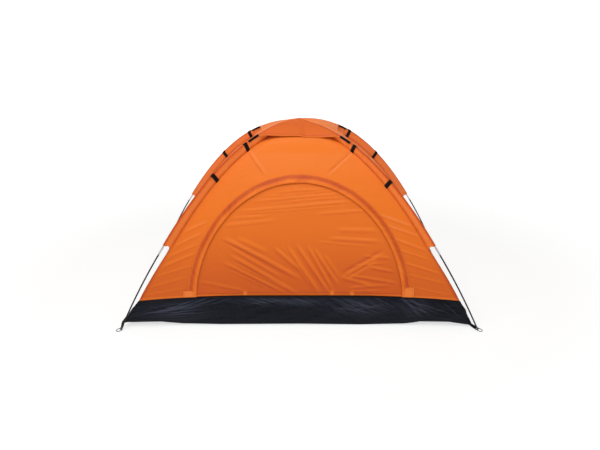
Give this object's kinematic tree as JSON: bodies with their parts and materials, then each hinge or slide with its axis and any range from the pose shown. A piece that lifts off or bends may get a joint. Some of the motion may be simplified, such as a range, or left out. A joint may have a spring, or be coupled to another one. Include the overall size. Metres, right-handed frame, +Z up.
{
  "type": "dome tent",
  "caption": "Low dome tent held by crossed arched poles in outside sleeves, with a zipped arch door, a dark tub floor and a small roof cap.",
  "frame": {"origin": "on the ground under the crossing of the poles, at the bottom centre of the bounding box", "axes": "+Z up, +X along the longer side of the floor, -Y out through the door"},
  "size_m": [2.0634, 1.556, 1.0762],
  "materials": {
    "orange_fabric": "coated woven polyester, slight sheen",
    "groundsheet": "woven polyethylene sheet, semi-gloss",
    "mesh": "fine insect mesh",
    "webbing": "woven webbing",
    "fibreglass": "smooth, satin",
    "steel": "zinc plated",
    "ring_steel": "blackened wire",
    "elastic": "braided cover",
    "zip_coil": "nylon coil on woven tape",
    "zip_metal": "black lacquer"
  },
  "bodies": {
    "tent": {"pole_a_section_1": "fibreglass", "pole_a_section_2": "fibreglass", "pole_a_section_3": "fibreglass", "pole_a_section_4": "fibreglass", "pole_a_section_5": "fibreglass", "pole_a_section_6": "fibreglass", "pole_a_section_7": "fibreglass", "pole_a_ferrules": "steel", "pole_a_shock_cord": "elastic", "pole_b_section_1": "fibreglass", "pole_b_section_2": "fibreglass", "pole_b_section_3": "fibreglass", "pole_b_section_4": "fibreglass", "pole_b_section_5": "fibreglass", "pole_b_section_6": "fibreglass", "pole_b_section_7": "fibreglass", "pole_b_ferrules": "steel", "pole_b_shock_cord": "elastic", "front_wall": "orange_fabric", "rear_wall": "orange_fabric", "left_wall": "orange_fabric", "right_wall": "orange_fabric", "roof_mesh": "mesh", "groundsheet": "groundsheet", "frame_zip_tape": "zip_coil", "door_storm_flap": "orange_fabric", "pole_sleeve_front_left": "orange_fabric", "pole_sleeve_front_right": "orange_fabric", "pole_sleeve_rear_left": "orange_fabric", "pole_sleeve_rear_right": "orange_fabric", "lower_sleeve_tabs": "webbing", "upper_sleeve_tabs": "webbing", "roof_cap": "orange_fabric", "cap_corner_loops": "webbing", "corner_pin_front_left": "steel", "corner_strap_front_left": "webbing", "corner_pin_front_right": "steel", "corner_strap_front_right": "webbing", "corner_pin_rear_left": "steel", "corner_strap_rear_left": "webbing", "corner_pin_rear_right": "steel", "corner_strap_rear_right": "webbing"},
    "door": {"door_panel": "orange_fabric", "door_zip_tape": "zip_coil"},
    "slider": {"zip_slider": "zip_metal"},
    "pull": {"zip_pull": "zip_metal"},
    "ring_front_left": {"peg_ring_front_left": "ring_steel"},
    "ring_front_right": {"peg_ring_front_right": "ring_steel"},
    "ring_rear_left": {"peg_ring_rear_left": "ring_steel"},
    "ring_rear_right": {"peg_ring_rear_right": "ring_steel"}
  },
  "joints": [
    {"name": "door_fold", "type": "hinge", "parent": "tent", "child": "door", "pos_m": [0, -0.65482, 0.1665], "axis": [-1, 0, 0], "range_deg": [0, 72]},
    {"name": "zip_travel", "type": "hinge", "parent": "tent", "child": "slider", "pos_m": [-0.12817, -0.65784, 0.16526], "axis": [0, -0.9233, 0.3841], "range_deg": [0, 16]},
    {"name": "zip_pull_flip", "type": "hinge", "parent": "slider", "child": "pull", "pos_m": [0.60623, -0.63662, 0.20142], "axis": [0.9982, 0.0227, 0.0546], "range_deg": [0, 120]},
    {"name": "ring_swing_front_left", "type": "hinge", "parent": "tent", "child": "ring_front_left", "pos_m": [-1.00332, -0.75249, 0.0075], "axis": [-0.6, 0.8, 0], "range_deg": [0, 110]},
    {"name": "ring_swing_front_right", "type": "hinge", "parent": "tent", "child": "ring_front_right", "pos_m": [1.00336, -0.75252, 0.0075], "axis": [-0.6, -0.8, 0], "range_deg": [0, 110]},
    {"name": "ring_swing_rear_left", "type": "hinge", "parent": "tent", "child": "ring_rear_left", "pos_m": [-1.00336, 0.75252, 0.0075], "axis": [0.6, 0.8, 0], "range_deg": [0, 110]},
    {"name": "ring_swing_rear_right", "type": "hinge", "parent": "tent", "child": "ring_rear_right", "pos_m": [1.00332, 0.75249, 0.0075], "axis": [0.6, -0.8, 0], "range_deg": [0, 110]}
  ]
}
